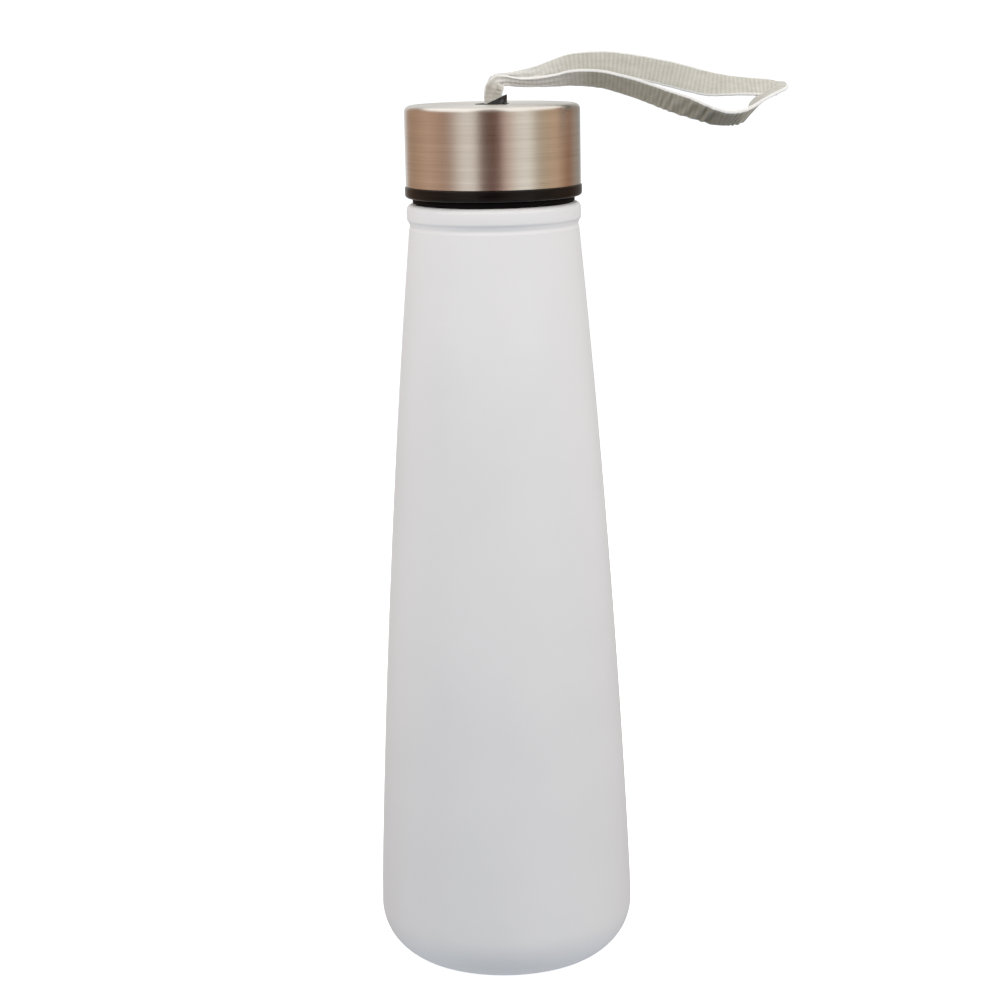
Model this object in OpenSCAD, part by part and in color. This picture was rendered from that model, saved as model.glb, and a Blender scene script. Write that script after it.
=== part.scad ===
// Conical glass water bottle with a screw lid and a webbing carry strap.
// Millimetres, +Z up. The origin is on the bottle's axis, where it stands on the table.

/* [Bottle] */
// Height from the table to the top of the bead under the lid
body_h = 222; // [180:1:270]
// Largest outer radius, just above the heel
body_r = 37.5; // [31:0.5:45]
// Outward bow of the tapering side against a straight cone
belly = 1.3; // [0:0.05:2.5]
// Glass thickness of the side
wall = 2.5; // [2:0.1:3.5]
// Glass thickness at the standing ring
base_t = 7; // [6:0.5:9]
// Radius of the rounded heel
heel_r = 15; // [14:0.5:18]
// Height of the heel's centre above the table
heel_rise = 13; // [10:0.5:13.5]
// Height at which the side starts to taper
taper_z = 18; // [15:0.5:30]
// Width of the ring that the bottle stands on
foot_w = 4.5; // [3:0.5:6]
// Depth of the hollow under the base
punt_h = 3; // [1:0.25:4]

/* [Bead and neck] */
// Height of the bead
bead_h = 5; // [4:0.25:7]
// How far the shoulder is set back from the bead
shoulder_in = 0.55; // [0.2:0.05:1]
// Height of the groove below the bead
groove_h = 2.4; // [1.5:0.1:4]
// Depth of the groove in the shoulder
groove_d = 0.3; // [0.2:0.05:0.8]
// Outer radius of the neck between the threads
neck_r = 19.6; // [16:0.2:25]
// Inner radius of the mouth
mouth_r = 16.8; // [13:0.2:17]
// Height of the neck above the bead
neck_h = 18.5; // [17:0.5:24]
// Rounding of the lip
lip_round = 0.9; // [0.4:0.1:1.2]

/* [Screw thread] */
// Rise in one turn
pitch = 5; // [4.5:0.1:6]
// Turns of each thread
thread_turns = 1.5; // [1:0.25:1.75]
// Radial height of each thread
thread_depth = 1.4; // [1.1:0.1:1.6]
// Width of a thread at its root
thread_root_w = 2.6; // [2.2:0.1:2.8]
// Width of a thread at its crest
thread_crest_w = 1; // [0.6:0.1:1.2]
// Gap between a crest and the wall that it faces
thread_gap = 0.5; // [0.4:0.05:0.8]
// Gap between the flanks that press together
flank_gap = 0.35; // [0.3:0.05:0.5]

/* [Lid] */
// Thickness of the drawn steel cup
steel_t = 0.5; // [0.4:0.05:0.8]
// Rounding of the steel cup's top edge
steel_round = 1.7; // [1:0.1:3]
// Distance from the thread's wall to the steel
liner_t = 2.8; // [2.2:0.1:3.5]
// Thickness of the liner's wall between its lands
liner_wall = 1.5; // [1.2:0.1:2]
// Thickness of the liner's top plate
plate_t = 1.5; // [1.2:0.1:2.5]
// Height of the black flange under the steel
flange_h = 3.2; // [2:0.1:5]
// How far the flange stands out past the steel
flange_out = 0.3; // [0:0.05:1]
// Thickness of the soft ring under the flange
neck_ring_t = 1.7; // [1:0.1:3]
// How far the soft ring is set back from the steel
neck_ring_in = 1.8; // [1:0.1:2]
// Number of gripping ribs between the liner and the steel
rib_count = 12; // [6:1:24]
// Thickness of the lip seal
seal_t = 1.5; // [1:0.1:2.5]

/* [Strap holder] */
// Height of the holder inside the lid
holder_h = 5.5; // [5.5:0.1:8]
// How far the boss stands above the steel
boss_proud = 0.2; // [0.1:0.1:1]
// Height of the hood above the steel, at the side where the strap leans
hood_h = 2.7; // [1.8:0.1:2.9]
// Wall of the hood round the slot
hood_wall = 0.8; // [0.7:0.1:1.4]
// Room for the webbing along the slot, both ends together
slot_room = 2; // [1.8:0.1:3]
// Radius of the steel cross pin
pin_r = 1.2; // [0.9:0.05:1.2]
// Length of the pin that bears in the holder, both ends together
pin_hold = 3; // [2:0.5:5]

/* [Strap] */
// Width of the webbing
strap_w = 7; // [5.8:0.1:9]
// Thickness of the webbing
strap_t = 1.1; // [0.8:0.05:1.2]
// Width of the gathered webbing where it leaves the lid
gather_w = 5; // [4.4:0.1:5.6]
// Height of the bend above the steel
bend_h = 6.1; // [5.8:0.1:9]
// Distance of the gathered webbing from the bottle's axis
strap_x = 0.3; // [0:0.1:0.3]

/* [Hidden] */
$fn = 96;

small = 0.01;
ring_gap = 0.1;          // lid's soft ring above the bead, when the lid is tight
fit_gap = 0.05;          // between pieces pushed together
arc_steps = 12;

// Radii, outwards from the neck
thread_r = neck_r + thread_depth;
liner_in_r = thread_r + thread_gap;
steel_in_r = liner_in_r + liner_t;
lid_r = steel_in_r + steel_t;
flange_r = lid_r + flange_out;
neck_ring_r = lid_r - neck_ring_in;
neck_ring_in_r = liner_in_r + 0.2;
bead_r = lid_r;
shoulder_r = bead_r - shoulder_in;

// Heights, upwards from the table
bead_z = body_h - bead_h;
shoulder_z = bead_z - groove_h;
lip_z = body_h + neck_h;
neck_thread_z = body_h + 6.5;
neck_ring_z = body_h + ring_gap;
flange_z = neck_ring_z + neck_ring_t;
steel_z = flange_z + flange_h;
plate_z = lip_z + seal_t;
holder_z = plate_z + plate_t;
steel_in_z = holder_z + holder_h;
lid_z = steel_in_z + steel_t;

// Inside of the bottle
inner_heel_r = 10;
inner_shoulder_z = shoulder_z - 4;
inner_neck_z = body_h + 4;

// Lip seal and the plug that centres it
plug_wall = 1.4;
plug_out_r = mouth_r - 1.2;
plug_depth = 3;
seal_in_r = plug_out_r + 0.3;
seal_out_r = liner_in_r - 0.6;

// Strap
bundle_t = 2 * strap_t + 0.2;
slot_w = bundle_t + 0.6;
slot_len = gather_w + slot_room;
loop_in_r = pin_r + fit_gap;
loop_out_r = loop_in_r + strap_t;
pin_len = slot_len + pin_hold;
pin_z = holder_z + loop_out_r + fit_gap;
bend_r = gather_w / 2;
bend_z = lid_z + bend_h;

// Strap holder
hood_len = slot_len + 2 * hood_wall;
hood_w = slot_w + 2 * hood_wall;
hood_foot = -1.4;        // where the hood starts to rise
boss_r = hood_len / 2 + 0.5;
holder_r = pin_len / 2 + 3.8;

// Places along the strap's loop, from the front ply at the bend, round the far end
// and back: [distance out, distance back, height of the upper edge, width, lean],
// measured from the bend. The lean carries the lower edge into the loop.
strap_path = [
    [3.3, -0.65, 2.0, 3.6, 0], [8, -0.9, 1.4, 3, 0], [13, -1.2, 1.6, 3.4, 0],
    [18, -1.8, 2.1, 4, 0], [23, -2.5, 3.2, 5, 10], [30, -3.9, 2.9, 5.6, 20],
    [36, -5.5, 1.5, 6.4, 28], [42, -7.2, -0.3, strap_w, 34], [50, -9.2, -3.1, strap_w, 28],
    [54, -10.1, -4.5, strap_w, 28], [58, -10.9, -6.3, strap_w, 32],
    [62, -11.2, -7.7, strap_w, 36], [66, -10.6, -8.6, strap_w, 40],
    [69.5, -8.8, -8.3, 6.6, 42], [73, -5.8, -7, 6, 42], [77, -1.4, -4.8, 5.4, 40],
    [80.5, 2.6, -2.7, 5, 36], [82.6, 5.6, -1.6, 4.8, 32], [82.9, 7.8, -1.1, 4.8, 30],
    [81, 9.4, -0.7, 5, 30], [77, 9.9, -0.2, 5.8, 32], [72, 9.6, 0.5, 6.6, 30],
    [66, 8.8, 1.4, strap_w, 24], [60, 7.8, 2.4, strap_w, 12], [50, 6, 5.1, strap_w, 6],
    [41, 4.8, 6.8, strap_w, 6], [32, 3.5, 7.8, 6.8, 6], [22, 2.2, 7.6, 6.2, 4],
    [13, 1.2, 5.6, 5, 0], [8, 0.9, 4, 4, 0], [3.3, 0.65, 2.8, 3.6, 0]
];

function arc(r, z, radius, from, to, steps = arc_steps) =
    [for (i = [0:steps]) let (a = from + (to - from) * i / steps)
        [r + radius * cos(a), z + radius * sin(a)]];

// Outer radius of the tapering side at a height
function side_r(z) =
    let (t = (z - taper_z) / (shoulder_z - taper_z))
    body_r + (shoulder_r - body_r) * t + 4 * belly * t * (1 - t);

function side(z_from, z_to, inset, steps) =
    [for (i = [0:steps]) let (z = z_from + (z_to - z_from) * i / steps)
        [side_r(z) - inset, z]];

// Inner shoulder: a smooth S from the side's wall in to the mouth
function inner_shoulder(steps = 10) =
    let (wide = side_r(inner_shoulder_z) - wall)
    [for (i = [1:steps - 1]) let (t = i / steps)
        [wide + (mouth_r - wide) * (1 - cos(180 * t)) / 2,
         inner_shoulder_z + (inner_neck_z - inner_shoulder_z) * t]];

function reversed(list) = [for (i = [len(list) - 1:-1:0]) list[i]];

function flat(r, z) = [[r, z]];

function bottle_outline() =
    let (
        foot_r = body_r - heel_r + sqrt(heel_r * heel_r - heel_rise * heel_rise),
        punt_r = foot_r - foot_w,
        punt_ball = (punt_r * punt_r + punt_h * punt_h) / (2 * punt_h),
        heel_foot = -asin(heel_rise / heel_r),
        groove_mid = shoulder_z + groove_h / 2,
        top_round = 1.8,
        low_round = 0.8,
        root_round = 0.8,
        inner_heel_z = base_t + inner_heel_r
    )
    concat(
        arc(0, punt_h - punt_ball, punt_ball, 90, acos(punt_r / punt_ball)),
        arc(body_r - heel_r, heel_rise, heel_r, heel_foot, 0),
        side(taper_z, shoulder_z, 0, 24),
        flat(shoulder_r - groove_d, groove_mid - 0.3),
        flat(shoulder_r - groove_d, groove_mid + 0.3),
        arc(bead_r - low_round, bead_z + low_round, low_round, -60, 0, 6),
        arc(bead_r - top_round, body_h - top_round, top_round, 0, 90),
        arc(neck_r + root_round, body_h + root_round, root_round, 270, 180, 6),
        arc(neck_r - lip_round, lip_z - lip_round, lip_round, 0, 90, 6),
        arc(mouth_r + lip_round, lip_z - lip_round, lip_round, 90, 180, 6),
        flat(mouth_r, inner_neck_z),
        reversed(inner_shoulder()),
        reversed(side(inner_heel_z + 2, inner_shoulder_z, wall, 20)),
        arc(body_r - wall - inner_heel_r, inner_heel_z, inner_heel_r, 0, -90),
        flat(0, base_t)
    );

// One screw thread: a tapered bar wound round a wall of radius root_r, run out to nothing
// over run_out degrees at both ends. A crest radius under root_r makes an inner thread.
module screw_thread(root_r, crest_r, start_z) {
    turn_steps = 48;
    steps = round(thread_turns * turn_steps);
    run_out = 45;
    bite = 0.4;
    way = sign(crest_r - root_r);
    sunk_r = root_r - way * bite;
    function height(a) =
        let (fade = min(1, a / run_out, (360 * thread_turns - a) / run_out))
        root_r - way * bite / 2 + (crest_r - root_r + way * bite / 2) * max(0, fade);
    function at(r, a, z) = [r * cos(a), r * sin(a), z];
    points = [
        for (i = [0:steps])
        let (a = i * 360 / turn_steps, z = start_z + pitch * a / 360, r = height(a))
        each [
            at(sunk_r, a, z - way * thread_root_w / 2),
            at(r, a, z - way * thread_crest_w / 2),
            at(r, a, z + way * thread_crest_w / 2),
            at(sunk_r, a, z + way * thread_root_w / 2)
        ]
    ];
    sweep(points, 4);
}

// Closes rings of points into a solid, with ring_size points in each ring
module sweep(points, ring_size) {
    rings = len(points) / ring_size;
    last = (rings - 1) * ring_size;
    sides = [
        for (i = [0:rings - 2], j = [0:ring_size - 1])
        let (
            a = i * ring_size + j,
            b = i * ring_size + (j + 1) % ring_size,
            c = b + ring_size,
            d = a + ring_size
        )
        each [[a, b, c], [a, c, d]]
    ];
    ends = [
        [for (j = [ring_size - 1:-1:0]) j],
        [for (j = [0:ring_size - 1]) last + j]
    ];
    polyhedron(points = points, faces = concat(sides, ends));
}

module ring(out_r, in_r, z, h) {
    translate([0, 0, z])
        difference() {
            cylinder(r = out_r, h = h);
            translate([0, 0, -1]) cylinder(r = in_r, h = h + 2);
        }
}

// A bar along X with round ends, standing on z
module slot_bar(length, width, z, h) {
    reach = (length - width) / 2;
    translate([0, 0, z])
        linear_extrude(height = h)
            union() {
                square([2 * reach, width], center = true);
                for (side = [-1, 1])
                    translate([side * reach, 0]) circle(d = width);
            }
}

// A round bar along X, centred on the axis, at height z
module cross_bar(radius, length, z) {
    translate([-length / 2, 0, z])
        rotate([0, 90, 0])
            cylinder(r = radius, h = length);
}

module glass_bottle() {
    color("whitesmoke")
        union() {
            rotate_extrude() polygon(bottle_outline());
            screw_thread(neck_r, thread_r, neck_thread_z);
        }
}

module lip_seal() {
    color("lightgray")
        ring(seal_out_r, seal_in_r, lip_z, seal_t);
}

module neck_ring() {
    color([0.07, 0.07, 0.08])
        ring(neck_ring_r, neck_ring_in_r, neck_ring_z, neck_ring_t);
}

module lid_shell() {
    inner_round = steel_round - steel_t;
    hole_r = boss_r + fit_gap;
    color("silver")
        rotate_extrude()
            polygon(concat(
                flat(steel_in_r, steel_z),
                flat(lid_r, steel_z),
                arc(lid_r - steel_round, lid_z - steel_round, steel_round, 0, 90),
                flat(hole_r, lid_z),
                flat(hole_r, steel_in_z),
                arc(lid_r - steel_round, lid_z - steel_round, inner_round, 90, 0)
            ));
}

module lid_liner() {
    land_r = steel_in_r - fit_gap;
    land_h = 2.5;
    land_top_z = holder_z - land_h;
    wall_r = liner_in_r + liner_wall;
    edge = 0.9;
    rib_w = 1.6;
    // female centre below the bottle's thread, flanks nearly touching
    slope = (thread_root_w - thread_crest_w) / 2 / thread_depth;
    drop = thread_root_w - slope * (thread_depth + thread_gap) + flank_gap;
    thread_z = neck_thread_z - drop;
    color([0.1, 0.08, 0.08])
        union() {
            rotate_extrude()
                polygon(concat(
                    flat(0, holder_z),
                    flat(0, plate_z),
                    flat(plug_out_r - plug_wall, plate_z),
                    flat(plug_out_r - plug_wall, plate_z - plug_depth),
                    flat(plug_out_r, plate_z - plug_depth),
                    flat(plug_out_r, plate_z),
                    flat(liner_in_r, plate_z),
                    flat(liner_in_r, flange_z),
                    arc(flange_r - edge, flange_z + edge, edge, -90, 0, 6),
                    arc(flange_r - edge / 2, steel_z - edge / 2, edge / 2, 0, 90, 4),
                    flat(land_r, steel_z),
                    flat(land_r, steel_z + land_h),
                    flat(wall_r, steel_z + land_h),
                    flat(wall_r, land_top_z),
                    flat(land_r, land_top_z),
                    flat(land_r, holder_z - steel_round),
                    flat(land_r - steel_round, holder_z)
                ));
            for (i = [0:rib_count - 1])
                rotate([0, 0, i * 360 / rib_count])
                    translate([wall_r - 0.5, -rib_w / 2, steel_z + land_h - small])
                        cube([land_r - wall_r + 0.4, rib_w, land_top_z - steel_z - land_h + 2 * small]);
            screw_thread(liner_in_r, neck_r + thread_gap, thread_z);
        }
}

module strap_holder() {
    pocket_r = loop_out_r + 0.3;
    groove_r = pin_r + fit_gap;
    groove_len = pin_len + 0.4;
    boss_edge = 0.2;
    boss_top = lid_z + boss_proud;
    hood_rise = atan((hood_h - boss_proud) / (hood_len / 2 - hood_foot));
    color([0.09, 0.09, 0.1])
        difference() {
            union() {
                translate([0, 0, holder_z]) cylinder(r = holder_r, h = holder_h);
                rotate_extrude()
                    polygon(concat(
                        flat(0, steel_in_z - small),
                        flat(boss_r, steel_in_z - small),
                        arc(boss_r - boss_edge, boss_top - boss_edge, boss_edge, 0, 90, 4),
                        flat(0, boss_top)
                    ));
                difference() {
                    slot_bar(hood_len, hood_w, steel_in_z, lid_z + hood_h - steel_in_z);
                    translate([hood_foot, -hood_w, boss_top])
                        rotate([0, -hood_rise, 0])
                            translate([-2 * hood_len, 0, 0])
                                cube([4 * hood_len, 2 * hood_w, 3 * hood_h]);
                }
            }
            slot_bar(slot_len, slot_w, pin_z, lid_z);
            cross_bar(pocket_r, slot_len, pin_z);
            translate([-slot_len / 2, -pocket_r, holder_z - 1])
                cube([slot_len, 2 * pocket_r, pin_z - holder_z + 1]);
            cross_bar(groove_r, groove_len, pin_z);
            translate([-groove_len / 2, -groove_r, holder_z - 1])
                cube([groove_len, 2 * groove_r, pin_z - holder_z + 1]);
        }
}

module strap_pin() {
    color("gainsboro")
        cross_bar(pin_r, pin_len, pin_z);
}

module strap_root() {
    color([0.78, 0.77, 0.73])
        difference() {
            union() {
                translate([strap_x, 0, 0]) cross_bar(loop_out_r, gather_w, pin_z);
                translate([strap_x - bend_r, -bundle_t / 2, pin_z])
                    cube([gather_w, bundle_t, bend_z - pin_z]);
                translate([strap_x, bundle_t / 2, bend_z])
                    rotate([90, 0, 0])
                        cylinder(r = bend_r, h = bundle_t);
            }
            cross_bar(loop_in_r, 3 * gather_w, pin_z);
        }
}

module strap_loop() {
    last = len(strap_path) - 1;
    function along(i) =
        let (d = strap_path[min(i + 1, last)] - strap_path[max(i - 1, 0)])
        [d.x, d.y] / norm([d.x, d.y]);
    points = [
        for (i = [0:last])
        let (
            p = strap_path[i],
            lean = p[4],
            inward = [-along(i).y, along(i).x, 0],
            down = (inward * sin(lean) - [0, 0, cos(lean)]) * p[3],
            thick = (inward * cos(lean) + [0, 0, sin(lean)]) * strap_t / 2,
            edge = [strap_x + p.x, p.y, bend_z + p.z]
        )
        each [edge + down + thick, edge + down - thick, edge - thick, edge + thick]
    ];
    color([0.78, 0.77, 0.73])
        sweep(points, 4);
}

glass_bottle();
lip_seal();
neck_ring();
lid_shell();
lid_liner();
strap_holder();
strap_pin();
strap_root();
strap_loop();
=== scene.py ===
import math
import bmesh
import bpy
from mathutils import Matrix, Vector, noise


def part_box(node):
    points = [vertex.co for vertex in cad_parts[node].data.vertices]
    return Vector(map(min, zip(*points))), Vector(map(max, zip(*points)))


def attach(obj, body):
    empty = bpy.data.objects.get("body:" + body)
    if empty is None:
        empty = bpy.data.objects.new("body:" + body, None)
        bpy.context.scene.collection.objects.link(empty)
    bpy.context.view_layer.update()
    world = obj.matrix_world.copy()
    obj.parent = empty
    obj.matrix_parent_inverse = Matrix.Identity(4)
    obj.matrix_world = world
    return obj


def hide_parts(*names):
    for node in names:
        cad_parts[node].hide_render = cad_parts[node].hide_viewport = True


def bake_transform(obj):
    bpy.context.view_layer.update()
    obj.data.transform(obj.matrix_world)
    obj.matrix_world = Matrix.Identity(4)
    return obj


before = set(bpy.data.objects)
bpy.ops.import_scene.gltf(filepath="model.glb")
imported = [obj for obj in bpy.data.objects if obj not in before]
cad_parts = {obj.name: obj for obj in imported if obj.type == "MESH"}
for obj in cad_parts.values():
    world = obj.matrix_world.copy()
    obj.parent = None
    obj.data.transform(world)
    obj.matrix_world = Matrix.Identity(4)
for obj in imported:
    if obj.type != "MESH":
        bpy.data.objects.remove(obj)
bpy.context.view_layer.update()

mm = 0.001

# Camera
# It stands in front of the bottle, a little above its lid, looks slightly down at it and is
# held not quite level, so the bottle leans a degree to the left in the frame.
camera_distance = 650 * mm
camera_height = 276 * mm
camera_side = 0.2 * mm
camera_pitch = math.radians(12.2)
camera_roll = math.radians(1.07)

forward = Vector((0, math.cos(camera_pitch), -math.sin(camera_pitch)))
level_up = Vector((0, math.sin(camera_pitch), math.cos(camera_pitch)))
level_right = Vector((1, 0, 0))
up = level_up * math.cos(camera_roll) + level_right * math.sin(camera_roll)
right = forward.cross(up)
camera_data = bpy.data.cameras.new("camera")
camera_data.sensor_width = 36
camera_data.lens = 82
camera = bpy.data.objects.new("camera", camera_data)
bpy.context.scene.collection.objects.link(camera)
turn = Matrix((right, up, -forward)).transposed().to_4x4()
camera.matrix_world = Matrix.Translation((camera_side, -camera_distance, camera_height)) @ turn
bpy.context.scene.camera = camera


# Glass bottle
# One blown glass body with a bead, a neck and a moulded right-hand screw thread. It is sprayed
# with an opaque satin white coat up to the top of the bead. The neck and the inside stay bare.
def arc(r, z, radius, start, end, steps=8):
    """Points of an arc round (r, z), from one angle to another in degrees."""
    angles = [math.radians(start + (end - start) * i / steps) for i in range(steps + 1)]
    return [(r + radius * math.cos(a), z + radius * math.sin(a)) for a in angles]


def stretch(low, high, steps, radius_at):
    """Points of a wall between two heights, with its radius worked out at each."""
    heights = [low + (high - low) * i / steps for i in range(steps + 1)]
    return [(radius_at(z), z) for z in heights]


def spun(name, outline, steps=144, closed=False):
    """A piece turned from its outline, a list of (radius, height), round the upright axis."""
    mesh = bmesh.new()
    verts = [mesh.verts.new((r, 0, z)) for r, z in outline]
    edges = [mesh.edges.new(pair) for pair in zip(verts, verts[1:])]
    if closed:
        edges.append(mesh.edges.new((verts[-1], verts[0])))
    bmesh.ops.spin(mesh, geom=verts + edges, cent=(0, 0, 0), axis=(0, 0, 1), angle=math.tau,
                   steps=steps, use_merge=True)
    bmesh.ops.remove_doubles(mesh, verts=mesh.verts, dist=0.002 * mm)
    bmesh.ops.recalc_face_normals(mesh, faces=mesh.faces)
    return piece_from(name, mesh)


def piece_from(name, mesh, sharp=40):
    """Makes the bmesh an object, smooth except at edges sharper than the angle in degrees."""
    data = bpy.data.meshes.new(name)
    for face in mesh.faces:
        face.smooth = True
    mesh.to_mesh(data)
    mesh.free()
    data.set_sharp_from_angle(angle=math.radians(sharp))
    piece = bpy.data.objects.new(name, data)
    bpy.context.scene.collection.objects.link(piece)
    return piece


def thread_relief(piece, wall_r, depth, start_z, inwards=False):
    """Raises one screw thread on the wall of a spun piece, run out to nothing at both ends."""
    way = -1 if inwards else 1
    wound = 360 * thread_turns
    run_out = 40
    for vert in piece.data.vertices:
        r = math.hypot(vert.co.x, vert.co.y)
        if abs(r - wall_r) > 0.02 * mm:
            continue
        around = math.degrees(math.atan2(vert.co.y, vert.co.x)) % 360
        rise = 0
        for a in (around, around + 360):
            off = abs(vert.co.z - start_z - thread_pitch * a / 360)
            flank = (thread_root_w / 2 - off) / (thread_root_w / 2 - thread_crest_w / 2)
            fade = min(1, a / run_out, (wound - a) / run_out)
            if flank > 0 and fade > 0:
                flank = min(1, flank)
                rise = max(rise, depth * fade * flank * flank * (3 - 2 * flank))
        grow = (r + way * rise) / r
        vert.co.x *= grow
        vert.co.y *= grow


bottle_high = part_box("glass_bottle")[1]
body_r = bottle_high.x
lip_z = bottle_high.z
bead_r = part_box("lid_shell")[1].x
ring_gap = 0.1 * mm
bead_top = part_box("neck_ring")[0].z - ring_gap
bead_h = 5 * mm
bead_low_round = 0.9 * mm
bead_top_round = 1.7 * mm
groove_h = 2.4 * mm
groove_d = 0.3 * mm
bead_z = bead_top - bead_h
shoulder_z = bead_z - groove_h
shoulder_r = bead_r - 0.55 * mm
wall = 2.5 * mm
heel_r = 15 * mm
heel_rise = 13 * mm
foot_angle = 2 - math.degrees(math.asin(heel_rise / heel_r))
taper_z = 18 * mm
taper_ease = 4 * mm
belly = 1.3 * mm
neck_r = 19.6 * mm
neck_round = 0.8 * mm
mouth_r = 16.8 * mm
lip_round = 0.9 * mm
floor_z = 7 * mm
inner_heel_r = 10 * mm
inner_shoulder_z = shoulder_z - 4 * mm
inner_neck_z = bead_top + 4 * mm
punt_h = 3 * mm
foot_r = body_r - heel_r + math.sqrt(heel_r ** 2 - heel_rise ** 2)
punt_r = foot_r - 4.5 * mm
punt_ball = (punt_r ** 2 + punt_h ** 2) / (2 * punt_h)
punt_angle = math.degrees(math.acos(punt_r / punt_ball))
thread_pitch = 5 * mm
thread_turns = 1.5
thread_depth = 1.4 * mm
thread_root_w = 2.6 * mm
thread_crest_w = 1 * mm
thread_gap = 0.5 * mm
neck_thread_z = bead_top + 6.5 * mm


def side_r(z):
    """The outside of the body: a cone with a slight belly, eased into the upright heel."""
    past = z - taper_z
    eased = 0.5 * (past + math.sqrt(past ** 2 + taper_ease ** 2))
    t = eased / (shoulder_z - taper_z)
    return min(body_r, body_r + (shoulder_r - body_r) * t + 4 * belly * t * (1 - t))


def groove_r(z):
    """The shallow groove between the shoulder and the bead."""
    t = (z - shoulder_z) / groove_h
    return shoulder_r - groove_d * math.sin(math.pi * min(1, t)) ** 2


def inner_shoulder_r(z):
    """The inside, drawn in from the body to the mouth in an S."""
    wide = side_r(inner_shoulder_z) - wall
    t = (z - inner_shoulder_z) / (inner_neck_z - inner_shoulder_z)
    return wide + (mouth_r - wide) * (1 - math.cos(math.pi * t)) / 2


thread_low = bead_top + 4.5 * mm
thread_high = bead_top + 16 * mm
outline = (
    arc(0, punt_h - punt_ball, punt_ball, 90, punt_angle, 12)
    + [(punt_r + 0.6 * mm, 0), (foot_r - 1 * mm, 0)]
    + arc(body_r - heel_r, heel_rise, heel_r, foot_angle, 0, 28)
    + stretch(heel_rise + 1.5 * mm, shoulder_z - 1 * mm, 72, side_r)
    + stretch(shoulder_z, bead_z - 0.2 * mm, 12, groove_r)
    + arc(bead_r - bead_low_round, bead_z + bead_low_round, bead_low_round, -50, 0, 6)
    + arc(bead_r - bead_top_round, bead_top - bead_top_round, bead_top_round, 12, 90, 12)
    + arc(neck_r + neck_round, bead_top + neck_round, neck_round, 270, 180, 8)
    + stretch(thread_low, thread_high, 46, lambda z: neck_r)
    + arc(neck_r - lip_round, lip_z - lip_round, lip_round, 0, 90)
    + arc(mouth_r + lip_round, lip_z - lip_round, lip_round, 90, 180)
    + stretch(inner_neck_z, inner_shoulder_z, 18, inner_shoulder_r)
    + stretch(inner_shoulder_z - 2 * mm, floor_z + inner_heel_r + 2 * mm, 36,
              lambda z: side_r(z) - wall)
    + arc(body_r - wall - inner_heel_r, floor_z + inner_heel_r, inner_heel_r, 0, -90, 14)
    + [(12 * mm, floor_z), (0, floor_z)]
)
bottle = spun("glass_bottle_body", outline)
thread_relief(bottle, neck_r, thread_depth, neck_thread_z)


class Nodes:
    """A material's node tree, with short ways to add nodes and to join them."""

    def __init__(self, name):
        self.material = bpy.data.materials.new(name)
        self.material.use_nodes = True
        self.tree = self.material.node_tree
        self.tree.nodes.clear()
        self.output = self.add("ShaderNodeOutputMaterial")
        self.shader = self.add("ShaderNodeBsdfPrincipled")
        self.join(self.shader.outputs[0], self.output.inputs["Surface"])
        self.place = self.add("ShaderNodeTexCoord").outputs["Object"]

    def add(self, kind, **values):
        """Adds a node, with its settings and the values of its inputs given by name."""
        node = self.tree.nodes.new(kind)
        for key, value in values.items():
            if hasattr(node, key):
                setattr(node, key, value)
            else:
                node.inputs[key.replace("_", " ")].default_value = value
        return node

    def join(self, out, into):
        self.tree.links.new(out, into)

    def math(self, operation, a, b=0.0, c=0.0):
        node = self.add("ShaderNodeMath", operation=operation)
        for slot, value in zip(node.inputs, (a, b, c)):
            if isinstance(value, (int, float)):
                slot.default_value = value
            else:
                self.join(value, slot)
        return node.outputs[0]

    def noise(self, vector, scale, detail=4.0, roughness=0.55):
        node = self.add("ShaderNodeTexNoise", Scale=scale, Detail=detail, Roughness=roughness)
        self.join(vector, node.inputs["Vector"])
        return node.outputs["Fac"]

    def scaled(self, vector, x, y, z):
        node = self.add("ShaderNodeVectorMath", operation="MULTIPLY")
        self.join(vector, node.inputs[0])
        node.inputs[1].default_value = (x, y, z)
        return node.outputs[0]

    def between(self, fac, low, high):
        """A number spread from low to high as fac goes from 0 to 1."""
        node = self.add("ShaderNodeMapRange", To_Min=low, To_Max=high)
        self.join(fac, node.inputs["Value"])
        return node.outputs["Result"]

    def ramp(self, fac, stops):
        node = self.add("ShaderNodeValToRGB")
        marks = node.color_ramp.elements
        while len(marks) < len(stops):
            marks.new(0.5)
        for mark, (at, colour) in zip(marks, stops):
            mark.position = at
            mark.color = (*colour, 1)
        self.join(fac, node.inputs["Fac"])
        return node.outputs["Color"]

    def mixed(self, fac, a, b, blend_type="MIX"):
        """Colour a with colour b laid over it by fac. Only b may be a plain colour."""
        node = self.add("ShaderNodeMix", data_type="RGBA", blend_type=blend_type)
        self.join(fac, node.inputs["Factor"])
        self.join(a, node.inputs["A"])
        if isinstance(b, tuple):
            node.inputs["B"].default_value = (*b, 1)
        else:
            self.join(b, node.inputs["B"])
        return node.outputs["Result"]

    def axes(self, vector):
        """The three parts of a vector."""
        node = self.add("ShaderNodeSeparateXYZ")
        self.join(vector, node.inputs[0])
        return node.outputs

    def bump(self, height, distance, strength=1.0, normal=None):
        node = self.add("ShaderNodeBump", Strength=strength, Distance=distance)
        self.join(height, node.inputs["Height"])
        if normal is not None:
            self.join(normal, node.inputs["Normal"])
        return node.outputs["Normal"]

    def set(self, **values):
        """Values that are the same all over, on the shader's own inputs."""
        for key, value in values.items():
            self.shader.inputs[key.replace("_", " ")].default_value = value

    def drive(self, **outs):
        """Joins outputs to the shader's inputs of the same names."""
        for key, out in outs.items():
            self.join(out, self.shader.inputs[key.replace("_", " ")])


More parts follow.
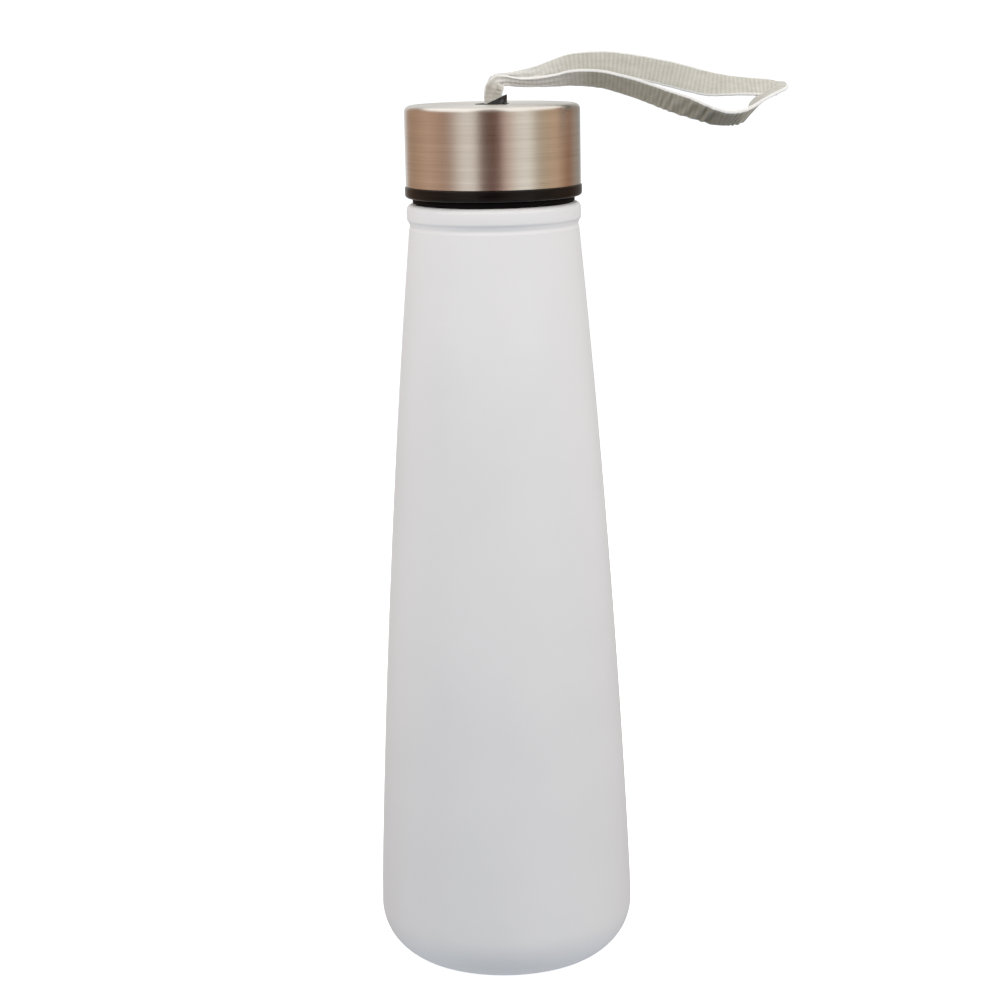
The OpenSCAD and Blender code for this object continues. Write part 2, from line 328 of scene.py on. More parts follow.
coat = Nodes("white_satin_coat")
coat_cloud = coat.noise(coat.place, 18, 3)
coat_grain = coat.noise(coat.place, 2600, 3)
coat_peel = coat.noise(coat.place, 420, 2)
coat_bands = coat.noise(coat.scaled(coat.place, 12, 12, 240), 1, 2)
coat.drive(
    Base_Color=coat.ramp(coat_cloud, [(0.3, (0.70, 0.70, 0.705)), (0.7, (0.74, 0.738, 0.74))]),
    Roughness=coat.between(coat_grain, 0.40, 0.56),
    Normal=coat.bump(coat_grain, 0.012 * mm, 1,
                     coat.bump(coat_peel, 0.02 * mm, 1, coat.bump(coat_bands, 0.05 * mm))),
)
coat.set(Specular_IOR_Level=0.45, Coat_Weight=0.12, Coat_Roughness=0.35)

clear = Nodes("bare_glass")
clear_ripple = clear.noise(clear.place, 90, 2)
clear.drive(
    Base_Color=clear.ramp(clear_ripple, [(0.3, (0.90, 0.95, 0.93)), (0.7, (0.94, 0.97, 0.96))]),
    Roughness=clear.between(clear_ripple, 0.01, 0.05),
    Normal=clear.bump(clear_ripple, 0.04 * mm),
)
clear.set(Transmission_Weight=1.0, IOR=1.5)

bottle.data.materials.append(coat.material)
bottle.data.materials.append(clear.material)
coated, bare = 0, 1
for face in bottle.data.polygons:
    middle = face.center
    middle_r = math.hypot(middle.x, middle.y)
    skin_r = side_r(max(middle.z, taper_z))
    if middle.z < heel_rise:
        skin_r = body_r - heel_r + math.sqrt(heel_r ** 2 - (heel_rise - middle.z) ** 2)
    under = middle.z < floor_z - 2 * mm
    outside = middle_r > skin_r - wall / 2 and middle.z < bead_z
    on_bead = bead_z <= middle.z < bead_top + 0.01 * mm and middle_r > neck_r + 1 * mm
    face.material_index = coated if under or outside or on_bead else bare
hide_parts("glass_bottle")
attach(bottle, "bottle")


# Lip seal
# A translucent silicone washer round the liner's plug. It is clamped between the liner and the
# glass lip, and does not turn with the lid.
seal_low, seal_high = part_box("lip_seal")
seal_in_r = 15.9 * mm
seal_edge = 0.3 * mm
seal_outline = (
    arc(seal_high.x - seal_edge, seal_low.z + seal_edge, seal_edge, -90, 0, 4)
    + arc(seal_high.x - seal_edge, seal_high.z - seal_edge, seal_edge, 0, 90, 4)
    + arc(seal_in_r + seal_edge, seal_high.z - seal_edge, seal_edge, 90, 180, 4)
    + arc(seal_in_r + seal_edge, seal_low.z + seal_edge, seal_edge, 180, 270, 4)
)
seal = spun("silicone_lip_seal", seal_outline, closed=True)
silicone = Nodes("milky_silicone")
silicone_cloud = silicone.noise(silicone.place, 160, 4)
silicone.drive(
    Base_Color=silicone.ramp(silicone_cloud, [(0.3, (0.60, 0.60, 0.57)), (0.7, (0.68, 0.68, 0.65))]),
    Roughness=silicone.between(silicone_cloud, 0.42, 0.58),
    Normal=silicone.bump(silicone.noise(silicone.place, 1500, 3), 0.02 * mm),
)
silicone.set(Subsurface_Weight=0.25, Subsurface_Scale=0.002, Specular_IOR_Level=0.4)
seal.data.materials.append(silicone.material)
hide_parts("lip_seal")
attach(seal, "seal")


# Neck ring
# A soft matt black ring, narrower than the flange above it and the bead below it. It is held
# under the flange and turns with the lid.
ring_low, ring_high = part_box("neck_ring")
ring_in_r = 21.7 * mm
ring_edge = 0.45 * mm
ring_outline = (
    arc(ring_high.x - ring_edge, ring_low.z + ring_edge, ring_edge, -90, 0, 5)
    + arc(ring_high.x - ring_edge, ring_high.z - ring_edge, ring_edge, 0, 90, 5)
    + [(ring_in_r, ring_high.z), (ring_in_r, ring_low.z)]
)
neck_ring = spun("soft_neck_ring", ring_outline, closed=True)
matt_black = Nodes("matt_black_silicone")
matt_dust = matt_black.noise(matt_black.place, 700, 5)
matt_black.drive(
    Base_Color=matt_black.ramp(matt_dust, [(0.35, (0.0022, 0.002, 0.0025)),
                                           (0.75, (0.0045, 0.004, 0.005))]),
    Roughness=matt_black.between(matt_dust, 0.55, 0.75),
    Normal=matt_black.bump(matt_dust, 0.02 * mm),
)
matt_black.set(Specular_IOR_Level=0.1)
neck_ring.data.materials.append(matt_black.material)
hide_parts("neck_ring")
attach(neck_ring, "lid")


# Lid liner
# A moulded black plastic cap: a glossy flange under the steel, a wall with the inner thread, two
# raised bands that the steel cup is pressed onto, and a plug that centres the seal in the mouth.
liner_low, liner_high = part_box("lid_liner")
shell_low, shell_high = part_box("lid_shell")
flange_r = liner_high.x
flange_low = liner_low.z
flange_high = shell_low.z
liner_top = liner_high.z
plate_z = seal_high.z
liner_in_r = neck_r + thread_depth + thread_gap
liner_wall_r = liner_in_r + 1.5 * mm
land_r = bead_r - 0.55 * mm
land_round = 1.7 * mm
land_h = 2.5 * mm
plug_r = seal_in_r - 0.3 * mm
plug_wall = 1.4 * mm
plug_low = plate_z - 3 * mm
plug_edge = 0.2 * mm
thread_drop = 1.86 * mm
thread_lead_in = 0.3 * mm
flange_low_round = 0.9 * mm
flange_top_round = 0.5 * mm
liner_thread_high = flange_low + 14 * mm
liner_outline = (
    [(0, liner_top), (0, plate_z), (plug_r - plug_wall, plate_z)]
    + [(plug_r - plug_wall, plug_low + plug_edge), (plug_r - plug_wall + plug_edge, plug_low)]
    + [(plug_r - plug_edge, plug_low), (plug_r, plug_low + plug_edge)]
    + [(plug_r, plate_z), (liner_in_r, plate_z)]
    + stretch(liner_thread_high, flange_low + thread_lead_in, 56, lambda z: liner_in_r)
    + [(liner_in_r + thread_lead_in, flange_low)]
    + arc(flange_r - flange_low_round, flange_low + flange_low_round, flange_low_round, -90, 0, 8)
    + arc(flange_r - flange_top_round, flange_high - flange_top_round, flange_top_round, 0, 90, 6)
    + [(land_r, flange_high), (land_r, flange_high + land_h), (liner_wall_r, flange_high + land_h)]
    + [(liner_wall_r, liner_top - land_h), (land_r, liner_top - land_h)]
    + [(land_r, liner_top - land_round), (land_r - land_round, liner_top)]
)
liner = spun("lid_liner_moulding", liner_outline)
thread_relief(liner, liner_in_r, thread_depth, neck_thread_z - thread_drop, inwards=True)
black_plastic = Nodes("glossy_black_plastic")
flow_marks = black_plastic.noise(black_plastic.scaled(black_plastic.place, 60, 60, 500), 1, 5)
black_plastic.drive(
    Base_Color=black_plastic.ramp(flow_marks, [(0.3, (0.004, 0.003, 0.0028)),
                                               (0.75, (0.011, 0.008, 0.007))]),
    Roughness=black_plastic.between(flow_marks, 0.18, 0.38),
    Normal=black_plastic.bump(flow_marks, 0.05 * mm),
)
black_plastic.set(Specular_IOR_Level=0.16)
liner.data.materials.append(black_plastic.material)
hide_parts("lid_liner")
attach(liner, "lid")


# Lid shell
# A cup drawn from thin stainless steel and pressed over the liner. It is brushed round its
# axis, on its side and its top alike, and its top edge is rounded.
shell_r = shell_high.x
shell_top = shell_high.z
shell_bottom = shell_low.z
steel_t = 0.5 * mm
steel_round = 1.7 * mm
shell_hole_r = 4.85 * mm
shell_mid_r = 14 * mm
hem = 0.12 * mm
shell_outline = (
    [(shell_r - steel_t, shell_bottom + hem), (shell_r - steel_t + hem, shell_bottom)]
    + [(shell_r - hem, shell_bottom), (shell_r, shell_bottom + hem)]
    + arc(shell_r - steel_round, shell_top - steel_round, steel_round, 0, 90, 14)
    + [(shell_mid_r, shell_top), (shell_hole_r + hem, shell_top), (shell_hole_r, shell_top - hem)]
    + [(shell_hole_r, shell_top - steel_t), (shell_mid_r, shell_top - steel_t)]
    + arc(shell_r - steel_round, shell_top - steel_round, steel_round - steel_t, 90, 0, 10)
)
shell = spun("brushed_steel_cup", shell_outline, steps=192, closed=True)
steel = Nodes("brushed_stainless_steel")
along_scale = 26
across_scale = 5200
xyz = steel.axes(steel.place)
from_axis = steel.math("SQRT", steel.math("ADD", steel.math("MULTIPLY", xyz["X"], xyz["X"]),
                                          steel.math("MULTIPLY", xyz["Y"], xyz["Y"])))
# height and radius added together keep the scratches fine both on the side and on the top
across_brush = steel.math("ADD", xyz["Z"], from_axis)
brush_place = steel.add("ShaderNodeCombineXYZ")
steel.join(steel.math("MULTIPLY", xyz["X"], along_scale), brush_place.inputs["X"])
steel.join(steel.math("MULTIPLY", xyz["Y"], along_scale), brush_place.inputs["Y"])
steel.join(steel.math("MULTIPLY", across_brush, across_scale), brush_place.inputs["Z"])
brush_fine = steel.noise(brush_place.outputs[0], 1, 6, 0.7)
brush_broad = steel.noise(steel.scaled(brush_place.outputs[0], 1, 1, 0.22), 1, 3)
smears = steel.noise(steel.place, 110, 3)
brush_mix = steel.math("ADD", steel.math("MULTIPLY", brush_fine, 0.6),
                       steel.math("MULTIPLY", brush_broad, 0.4))
steel.drive(
    Base_Color=steel.ramp(brush_mix, [(0.3, (0.56, 0.53, 0.50)), (0.5, (0.66, 0.63, 0.60)),
                                      (0.72, (0.78, 0.76, 0.73))]),
    Roughness=steel.math("ADD", steel.between(brush_mix, 0.22, 0.36),
                         steel.between(smears, -0.03, 0.05)),
    Normal=steel.bump(brush_mix, 0.03 * mm),
)
round_axis = steel.add("ShaderNodeTangent", direction_type="RADIAL", axis="Z")
steel.drive(Tangent=round_axis.outputs[0])
steel.set(Metallic=1.0, Anisotropic=0.8, Anisotropic_Rotation=0.25)
shell.data.materials.append(steel.material)
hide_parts("lid_shell")
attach(shell, "lid")


# Strap holder
# A moulded black plastic plug, held between the liner and the steel. Its boss shows in the
# steel's hole, with a slot for the webbing and a small hood on the side to which the strap leans.
holder_mesh = bmesh.new()
holder_mesh.from_mesh(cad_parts["strap_holder"].data)
bmesh.ops.remove_doubles(holder_mesh, verts=holder_mesh.verts, dist=0.002 * mm)
bmesh.ops.dissolve_degenerate(holder_mesh, edges=holder_mesh.edges, dist=0.001 * mm)
hood_from = shell_top + 0.3 * mm
hood_round = 0.16 * mm
hood_edges = [edge for edge in holder_mesh.edges if len(edge.link_faces) == 2
              and edge.calc_face_angle() > math.radians(25)
              and min(vert.co.z for vert in edge.verts) > hood_from]
bmesh.ops.bevel(holder_mesh, geom=hood_edges, offset=hood_round, segments=3, profile=0.5,
                affect="EDGES", material=-1, clamp_overlap=True)
holder = piece_from("strap_holder_plug", holder_mesh, sharp=50)
holder_black = Nodes("moulded_black_plug")
holder_grain = holder_black.noise(holder_black.place, 900, 4)
holder_black.drive(
    Base_Color=holder_black.ramp(holder_grain, [(0.3, (0.004, 0.004, 0.0045)),
                                                (0.75, (0.010, 0.0095, 0.0095))]),
    Roughness=holder_black.between(holder_grain, 0.12, 0.26),
    Normal=holder_black.bump(holder_grain, 0.03 * mm),
)
holder.data.materials.append(holder_black.material)
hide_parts("strap_holder")
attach(holder, "lid")


# Strap pin
# A short turned steel pin across the holder's pocket. The webbing is looped round it.
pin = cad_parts["strap_pin"]
turned = Nodes("turned_steel_pin")
pin_marks = turned.noise(turned.scaled(turned.place, 4000, 80, 80), 1, 4)
turned.drive(
    Base_Color=turned.ramp(pin_marks, [(0.3, (0.48, 0.48, 0.48)), (0.7, (0.66, 0.66, 0.65))]),
    Roughness=turned.between(pin_marks, 0.22, 0.40),
    Normal=turned.bump(pin_marks, 0.02 * mm),
)
turned.set(Metallic=1.0)
pin.data.materials.clear()
pin.data.materials.append(turned.material)


# Strap
# One length of pale ribbed polyester webbing, looped round the pin, with its ends sewn inside
# the lid. It leaves the slot folded small, bends over edgewise, and opens into a loose loop.
root_low, root_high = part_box("strap_root")
pin_low, pin_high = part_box("strap_pin")
bend_r = (root_high.x - root_low.x) / 2
bend = Vector(((root_low.x + root_high.x) / 2, 0, root_high.z - bend_r))
pin_down = ((pin_low.z + pin_high.z) / 2 - bend.z) / mm
strap_t = 1.1
full_width = 7
rib_pitch = 1.22
rib_rise = 0.055
selvedge_rise = 0.06
crease_pitch = 2.6
crease_rise = 0.36

# Stations along the strap in mm: one edge's place from the bend, the way to the other edge,
# the width, how deep it is folded, and how strongly it is creased.
strap_stations = [
    ((-2.3, -1.8, pin_down), (1, 0, 0), 4.6, 0, 0),
    ((-2.3, -1.25, pin_down + 1.6), (1, 0, 0), 4.6, 0, 0),
    ((-2.35, -0.66, pin_down + 3.4), (1, 0, 0), 4.7, 0.1, 0),
    ((-2.5, -0.62, -4.6), (1, 0, 0), 5.0, 0.2, 0),
    ((-2.5, -0.62, -3.2), (1, 0, 0), 5.2, 0.5, 0),
    ((-2.3, -0.62, -1.7), (1, 0, -0.1), 5.3, 0.8, 0),
    ((-1.7, -0.62, -0.3), (1, 0, -0.3), 5.1, 0.9, 0),
    ((-0.8, -0.62, 1.0), (0.95, 0, -0.75), 4.6, 0.8, 0),
    ((0.7, -0.64, 1.9), (0.5, 0.1, -1), 3.8, 0.6, 0),
    ((3.8, -0.75, 1.8), (0.1, 0.4, -1), 3.1, 0.4, 0),
    ((8, -0.95, 1.1), (0, 0.7, -1), 3.0, 0.3, 0),
    ((13, -1.3, 1.3), (0, 0.8, -1), 3.4, 0.25, 0.05),
    ((18, -1.9, 2.0), (0, 0.75, -1), 4.3, 0.2, 0.1),
    ((23, -2.8, 3.0), (0, 0.75, -1), 5.5, 0.1, 0.1),
    ((30, -4.2, 2.9), (0, 0.85, -1), 6.5, 0.1, 0.1),
    ((36, -5.8, 1.5), (0, 0.9, -1), 7, 0, 0.15),
    ((42, -7.5, -0.3), (0, 0.75, -1), 7, 0, 0.25),
    ((50, -9.6, -3.1), (0, 0.6, -1), 7, 0, 0.35),
    ((54, -10.5, -4.5), (0, 0.65, -1), 7, 0, 0.55),
    ((58, -11.3, -6.3), (0, 0.85, -1), 7, 0, 0.85),
    ((62, -11.6, -8.0), (-0.05, 1.15, -1), 7, 0, 1.3),
    ((66, -11.2, -8.9), (-0.2, 1.5, -1), 7, 0, 0.95),
    ((69.8, -9.2, -8.6), (-0.25, 1.6, -1.05), 7, 0, 0.45),
    ((73.5, -5.6, -7.4), (-0.6, 1.7, -1.05), 7, 0, 0.2),
    ((77.5, -1.2, -5.6), (-1.4, 1.5, -0.55), 7, 0, 0.1),
    ((81.5, 3.2, -4.0), (-1.7, 1.0, -0.35), 7, 0, 0),
    ((84, 6.6, -2.8), (-1.7, 0.2, -0.35), 7, 0, 0),
    ((84, 9.0, -2.1), (-1.3, -0.6, -0.5), 7, 0, 0),
    ((81, 10.5, -1.5), (-0.5, -1.2, -0.8), 7, 0, 0),
    ((76.5, 10.6, -0.9), (0, -1.2, -1), 7, 0, 0),
    ((72, 10, -0.4), (0, -1.1, -1), 7, 0, 0.1),
    ((66, 9, 0.5), (0, -0.7, -1), 7, 0, 0.2),
    ((60, 7.9, 2.0), (0, -0.3, -1), 7.4, 0, 0.2),
    ((50, 6, 4.8), (0, -0.1, -1), 7.3, 0, 0.1),
    ((41, 4.8, 6.7), (0, -0.1, -1), 7, 0, 0),
    ((32, 3.5, 7.9), (0, -0.12, -1), 6.8, 0.1, 0),
    ((23, 2.3, 7.6), (0, -0.15, -1), 6.2, 0.1, 0.1),
    ((17, 1.6, 5.8), (0, -0.1, -1), 5.0, 0.2, 0.1),
    ((13, 1.25, 4.4), (0, -0.1, -1), 4.4, 0.25, 0.1),
    ((8, 0.95, 3.2), (0, 0, -1), 3.8, 0.4, 0),
    ((4, 0.75, 2.6), (0.1, 0, -1), 3.6, 0.6, 0),
    ((1.2, 0.68, 2.3), (0.4, 0, -1), 3.8, 0.8, 0),
    ((-0.6, 0.66, 1.5), (0.8, 0, -0.9), 4.2, 0.8, 0),
    ((-1.7, 0.64, -0.1), (1, 0, -0.3), 4.8, 0.8, 0),
    ((-2.3, 0.64, -1.7), (1, 0, -0.1), 5.1, 0.7, 0),
    ((-2.5, 0.64, -3.2), (1, 0, 0), 5.1, 0.4, 0),
    ((-2.5, 0.64, -4.6), (1, 0, 0), 4.9, 0.2, 0),
    ((-2.35, 0.66, pin_down + 3.4), (1, 0, 0), 4.7, 0.1, 0),
    ((-2.3, 1.25, pin_down + 1.6), (1, 0, 0), 4.6, 0, 0),
    ((-2.3, 1.8, pin_down), (1, 0, 0), 4.6, 0, 0),
    ((-2.3, 1.3, pin_down - 1.25), (1, 0, 0), 4.6, 0, 0),
    ((-2.3, 0, pin_down - 1.8), (1, 0, 0), 4.6, 0, 0),
    ((-2.3, -1.3, pin_down - 1.25), (1, 0, 0), 4.6, 0, 0),
]


def closed_curve(values, t):
    """A smooth closed curve through the values (Catmull-Rom), at t in stations."""
    count = len(values)
    i = int(math.floor(t)) % count
    f = t - math.floor(t)
    p0, p1, p2, p3 = (values[(i + k - 1) % count] for k in range(4))
    return 0.5 * (2 * p1 + (p2 - p0) * f + (2 * p0 - 5 * p1 + 4 * p2 - p3) * f ** 2
                  + (3 * p1 - p0 - 3 * p2 + p3) * f ** 3)


across = [Vector(s[1]).normalized() for s in strap_stations]
widths = [s[2] for s in strap_stations]
folds = [s[3] for s in strap_stations]
creases = [s[4] for s in strap_stations]
places = [Vector(s[0]) + way * (s[2] / 2) for s, way in zip(strap_stations, across)]

# The curve is walked once, to find where each rib falls on it.
walk_steps = 6000
walk = [closed_curve(places, len(places) * i / walk_steps) for i in range(walk_steps + 1)]
travelled = [0.0]
for a, b in zip(walk, walk[1:]):
    travelled.append(travelled[-1] + (b - a).length)
strap_length = travelled[-1]
rib_count = round(strap_length / rib_pitch)
rib_samples = 8
ring_count = rib_count * rib_samples


def at_length(length):
    """Where on the curve, in stations, a length along the strap falls."""
    low, high = 0, walk_steps
    while high - low > 1:
        middle = (low + high) // 2
        if travelled[middle] <= length:
            low = middle
        else:
            high = middle
    part = (length - travelled[low]) / max(1e-9, travelled[high] - travelled[low])
    return (low + part) / walk_steps * len(places)


# The section runs along one face, from edge to edge, and back along the other.
section_half = 20
section = []
for face_side in (1, -1):
    for i in range(section_half):
        section.append((-math.cos(math.pi * (i + 0.5) / section_half) * face_side, face_side))
section_count = len(section)

rings = []
for i in range(ring_count):
    length = strap_length * i / ring_count
    t = at_length(length)
    ahead = (closed_curve(places, t + 0.02) - closed_curve(places, t - 0.02)).normalized()
    edge = closed_curve(across, t)
    edge = (edge - ahead * edge.dot(ahead)).normalized()
    rings.append((closed_curve(places, t), edge, edge.cross(ahead), closed_curve(widths, t),
                  max(0, closed_curve(folds, t)), max(0, closed_curve(creases, t)), length))

# A flat grid is wrapped into the closed band. The layers tell the paint which face is outer,
# where the strap is gathered narrow, and where it is creased: painted shade on the outer face and in
# the creases, and a painted highlight on the gathered stem.
strap_mesh = bmesh.new()
bmesh.ops.create_grid(strap_mesh, x_segments=ring_count, y_segments=section_count, size=0.5)
uv_layer = strap_mesh.loops.layers.uv.new("along_strap")
outer_layer = strap_mesh.verts.layers.float.new("outer_face")
gather_layer = strap_mesh.verts.layers.float.new("gathered")
crease_layer = strap_mesh.verts.layers.float.new("creased")
steps = {}
for vert in strap_mesh.verts:
    i = round((vert.co.x + 0.5) * ring_count)
    j = round((vert.co.y + 0.5) * section_count)
    steps[vert] = (i, j)
    here, edge, outward, width, fold, creasing, length = rings[i % ring_count]
    v, face_side = section[j % section_count]
    rib = 0.5 + 0.5 * math.cos(math.tau * i / rib_samples)
    rounding = math.sqrt(max(0.0, 1 - max(0.0, (abs(v) - 0.88) / 0.12) ** 2))
    half = 0.42 * strap_t * rounding
    if abs(v) < 0.88:
        half += rib_rise * rib * max(0.2, 1 - fold)
    elif abs(v) < 0.96:
        half += selvedge_rise
    pleat = 0.5 + 0.5 * math.cos(math.tau * 1.25 * v + 1.1 * math.sin(0.5 * length))
    crumple = noise.noise(Vector((length * 0.5, v * 1.7, 8.7)))
    sway = noise.noise(Vector((length * 0.09, v * 0.4, 3.1)))
    drift = noise.noise(Vector((length * 0.22, v * 0.3, 5.5)))
    crease = math.sin(math.tau * (length / crease_pitch + 0.42 * v + 0.9 * drift)) * (0.75 + drift)
    inset = min(1, (v + 1) / 0.5)
    lift = (0.12 * sway + fold * (0.5 * pleat + 0.7 * abs(crumple))
            + crease_rise * creasing * crease * inset)
    side = width / 2 * (1 + 0.03 * crumple)
    place = here + edge * (v * side) + outward * (half * face_side + lift)
    vert.co = bend + place * mm
    # The outer face layer masks the painted shade on the outer face.
    vert[outer_layer] = 1.0 if face_side > 0 else 0.0
    # The gathered layer masks the painted highlight on the narrow stem.
    vert[gather_layer] = min(1.0, max(0.0, (6.3 - width) / 2.5))
    # The creased layer is strongest in the crease valleys and masks the painted shade there.
    vert[crease_layer] = min(1.0, creasing) * inset * (0.6 - 0.4 * crease)
for face in strap_mesh.faces:
    for loop in face.loops:
        i, j = steps[loop.vert]
        v = section[j % section_count][0]
        loop[uv_layer].uv = (strap_length * i / ring_count, v * full_width / 2)
bmesh.ops.remove_doubles(strap_mesh, verts=strap_mesh.verts, dist=0.004 * mm)
bmesh.ops.recalc_face_normals(strap_mesh, faces=strap_mesh.faces)
strap = piece_from("webbing_strap", strap_mesh, sharp=75)

webbing = Nodes("ribbed_webbing")
uv = webbing.add("ShaderNodeUVMap", uv_map="along_strap").outputs["UV"]
uv_parts = webbing.axes(uv)
rib_turns = math.tau * rib_count / strap_length
rib_wave = webbing.math("COSINE", webbing.math("MULTIPLY", uv_parts["X"], rib_turns))
rib_top = webbing.math("MULTIPLY_ADD", rib_wave, 0.5, 0.5)
yarns = webbing.noise(webbing.scaled(uv, 0.6, 5.5, 1), 1, 4)
twist = webbing.noise(webbing.scaled(uv, 6, 2.2, 1), 1, 3)
patches = webbing.noise(webbing.scaled(uv, 0.25, 0.5, 1), 1, 3)
lint = webbing.noise(webbing.place, 3000, 4)
outer_face = webbing.add("ShaderNodeAttribute", attribute_name="outer_face").outputs["Fac"]
gathered = webbing.add("ShaderNodeAttribute", attribute_name="gathered").outputs["Fac"]
creased = webbing.add("ShaderNodeAttribute", attribute_name="creased").outputs["Fac"]
edge_thread = webbing.math("GREATER_THAN", webbing.math("ABSOLUTE", uv_parts["Y"]), 3.02)
patchy = webbing.math("MULTIPLY_ADD", twist, 0.25, webbing.math("MULTIPLY", patches, 0.38))
weave = webbing.math("ADD", webbing.math("MULTIPLY", rib_top, 0.15),
                     webbing.math("ADD", webbing.math("MULTIPLY", yarns, 0.22), patchy))
woven = webbing.ramp(weave, [(0.3, (0.38, 0.37, 0.32)), (0.5, (0.50, 0.49, 0.44)),
                             (0.7, (0.60, 0.59, 0.54))])
# Painted shade: the outer face, apart from the gathered stem, is darkened and warmed, so the front
# run of the loop reads shaded.
outer_face_painted_shade = webbing.mixed(
    webbing.math("MULTIPLY", outer_face, webbing.math("SUBTRACT", 1.0, gathered)),
    woven, (0.72, 0.68, 0.61), "MULTIPLY")
# Painted shade: the crease valleys on the outer face are darkened further, most along the lower bend
# of the front run.
crease_painted_shade = webbing.mixed(webbing.math("MULTIPLY", outer_face, creased),
                       outer_face_painted_shade, (0.30, 0.285, 0.25), "MULTIPLY")
# The selvedge threads along both edges are lighter in their own colour. The gathered stem is
# lightened the same way as a painted highlight.
selvedge_and_painted_highlight = webbing.mixed(
    webbing.math("MAXIMUM", webbing.math("MULTIPLY", edge_thread, 0.85),
                 webbing.math("MULTIPLY", gathered, 0.48)),
    crease_painted_shade, (0.80, 0.80, 0.785))
webbing.drive(
    Base_Color=selvedge_and_painted_highlight,
    Roughness=webbing.between(lint, 0.62, 0.86),
    Normal=webbing.bump(lint, 0.03 * mm, 1, webbing.bump(yarns, 0.05 * mm)),
)
webbing.set(Sheen_Weight=0.2, Sheen_Roughness=0.5, Specular_IOR_Level=0.3)
strap.data.materials.append(webbing.material)
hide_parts("strap_root", "strap_loop")
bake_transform(strap)


# Studio
# A white floor that curves up into a wall, a slightly blue sky that is brightest from below, two
# soft lamps in front and one behind, and a drum of coloured card that only gloss mirrors.
def lamp(name, place, aim, size, power, colour):
    """A square lamp in metres and watts, turned to its aim. It does not show in the steel."""
    data = bpy.data.lights.new(name, "AREA")
    data.shape = "SQUARE"
    data.size = size
    data.energy = power
    data.color = colour
    made = bpy.data.objects.new(name, data)
    bpy.context.scene.collection.objects.link(made)
    made.visible_glossy = False
    made.location = place
    made.rotation_euler = (Vector(aim) - Vector(place)).to_track_quat("-Z", "Y").to_euler()


cove_outline = [(0, 0), (2, 0), (2.6, 0.1), (2.9, 0.4), (3, 1), (3, 3)]
cove = spun("studio_floor_and_wall", cove_outline, steps=96)
paper = Nodes("white_paper")
paper_grain = paper.noise(paper.place, 300, 4)
paper.drive(
    Base_Color=paper.ramp(paper_grain, [(0.3, (0.90, 0.90, 0.90)), (0.7, (0.93, 0.93, 0.93))]),
    Roughness=paper.between(paper_grain, 0.8, 0.95),
)
paper.set(Emission_Color=(1, 1, 1, 1), Emission_Strength=0.62)
cove.data.materials.append(paper.material)
cove.visible_diffuse = False
cove.visible_glossy = False

# The drum stands round the bottle, open below, with its cover 0.8 m up.
card_r = 0.75
card_h = 1.3
card_middle_z = 0.15
cover_z = 0.79
card_mesh = bmesh.new()
bmesh.ops.create_cone(card_mesh, cap_ends=False, segments=96, radius1=card_r, radius2=card_r,
                      depth=card_h)
bmesh.ops.translate(card_mesh, verts=card_mesh.verts, vec=(0, 0, card_middle_z))
rim = [edge for edge in card_mesh.edges if edge.is_boundary and edge.verts[0].co.z > cover_z]
bmesh.ops.holes_fill(card_mesh, edges=rim)
card_ring = piece_from("card_ring", card_mesh)
card_paint = Nodes("coloured_cards")
card_paint.tree.nodes.remove(card_paint.shader)
card_axes = card_paint.axes(card_paint.place)
azimuth = card_paint.math("ARCTAN2", card_axes["X"], card_paint.math("MULTIPLY", card_axes["Y"], -1))

# Degrees round the drum from the front, and the colour there: its side, then its cover.
card_stops = [
    (-180, (0.80, 0.80, 0.78)), (-158, (0.78, 0.77, 0.75)), (-144, (0.46, 0.33, 0.25)),
    (-128, (0.46, 0.30, 0.20)), (-92, (0.62, 0.41, 0.29)), (-66, (0.46, 0.29, 0.20)),
    (-57, (0.48, 0.34, 0.26)), (-50, (0.64, 0.52, 0.44)), (-41, (0.86, 0.80, 0.72)),
    (-24, (0.95, 0.87, 0.78)), (-17, (0.34, 0.25, 0.20)), (-11, (0.17, 0.10, 0.075)),
    (-3, (0.14, 0.06, 0.04)), (9, (0.16, 0.07, 0.05)), (14, (0.62, 0.43, 0.35)),
    (24, (0.74, 0.60, 0.52)), (32, (0.90, 0.84, 0.74)), (46, (0.98, 0.96, 0.87)),
    (53, (0.86, 0.78, 0.67)), (60, (0.54, 0.46, 0.36)), (75, (0.58, 0.43, 0.29)),
    (92, (0.66, 0.46, 0.31)), (102, (0.50, 0.31, 0.20)), (116, (0.34, 0.17, 0.10)),
    (134, (0.40, 0.32, 0.26)), (150, (0.34, 0.32, 0.29)), (180, (0.80, 0.80, 0.78)),
]
overhead_stops = [
    (-180, (1.3, 1.3, 1.26)), (-36, (1.5, 1.48, 1.42)), (-22, (0.40, 0.34, 0.30)),
    (14, (0.36, 0.29, 0.25)), (26, (1.5, 1.48, 1.42)), (120, (1.3, 1.26, 1.2)),
    (180, (1.3, 1.3, 1.26)),
]
round_turn = card_paint.math("MULTIPLY_ADD", azimuth, 1 / math.tau, 0.5)
card_side, card_cover = (card_paint.ramp(round_turn, [((a + 180) / 360, c) for a, c in stops])
                         for stops in (card_stops, overhead_stops))
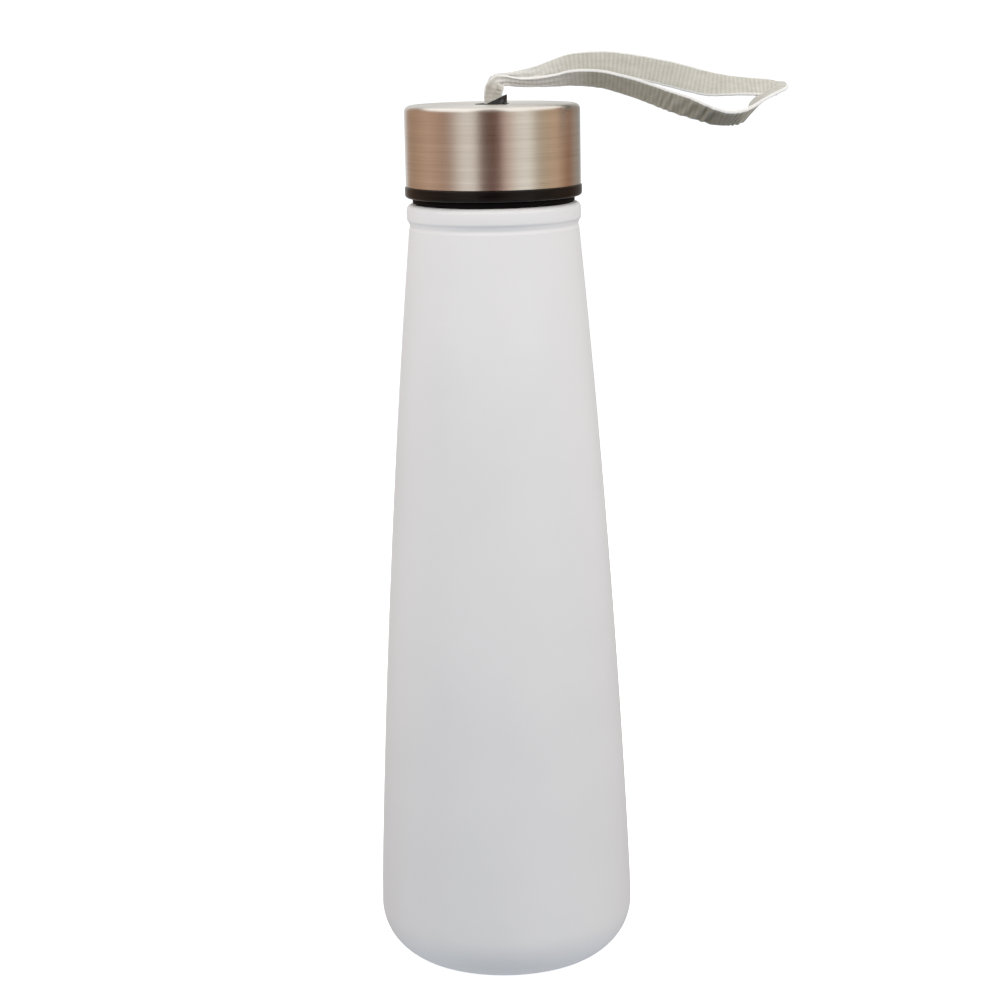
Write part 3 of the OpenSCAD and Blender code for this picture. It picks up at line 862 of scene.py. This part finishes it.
card_colour = card_paint.mixed(card_paint.math("GREATER_THAN", card_axes["Z"], cover_z),
                               card_side, card_cover)
glow = card_paint.add("ShaderNodeEmission")
card_paint.join(card_colour, glow.inputs["Color"])
card_paint.join(glow.outputs[0], card_paint.output.inputs["Surface"])
card_ring.data.materials.append(card_paint.material)
card_ring.visible_camera = False
card_ring.visible_diffuse = False
card_ring.visible_shadow = False
card_ring.visible_transmission = False

warm = (1.08, 1.0, 0.93)
lamp("lamp_right", (0.50, -0.31, 0.54), (0, 0, 0.17), 0.35, 2.35, warm)
lamp("lamp_left", (-0.36, -0.24, 0.44), (0, 0, 0.17), 0.30, 1.15, warm)
lamp("lamp_back", (0, 0.62, 0.52), (0, 0, 0.15), 0.40, 1.6, (1.04, 1.0, 0.96))

# The sky's colours, from straight below at 0 to straight above at 1.
sky_stops = [(0, (0.67, 0.70, 0.74)), (0.1, (0.67, 0.70, 0.74)), (0.33, (0.53, 0.57, 0.63)),
             (0.6, (0.55, 0.575, 0.60))]
world = bpy.data.worlds.new("even_sky")
world.use_nodes = True
sky_tree = world.node_tree
sky = sky_tree.nodes["Background"]
sky_place = sky_tree.nodes.new("ShaderNodeTexCoord")
sky_parts = sky_tree.nodes.new("ShaderNodeSeparateXYZ")
sky_spread = sky_tree.nodes.new("ShaderNodeMapRange")
sky_ramp = sky_tree.nodes.new("ShaderNodeValToRGB")
sky_spread.inputs["From Min"].default_value = -1
sky_tree.links.new(sky_place.outputs["Generated"], sky_parts.inputs[0])
sky_tree.links.new(sky_parts.outputs["Z"], sky_spread.inputs["Value"])
sky_tree.links.new(sky_spread.outputs["Result"], sky_ramp.inputs["Fac"])
sky_tree.links.new(sky_ramp.outputs["Color"], sky.inputs["Color"])
sky_marks = sky_ramp.color_ramp.elements
while len(sky_marks) < len(sky_stops):
    sky_marks.new(0.5)
for mark, (at, colour) in zip(sky_marks, sky_stops):
    mark.position = at
    mark.color = (*colour, 1)
bpy.context.scene.world = world
bpy.context.scene.view_settings.view_transform = "Standard"
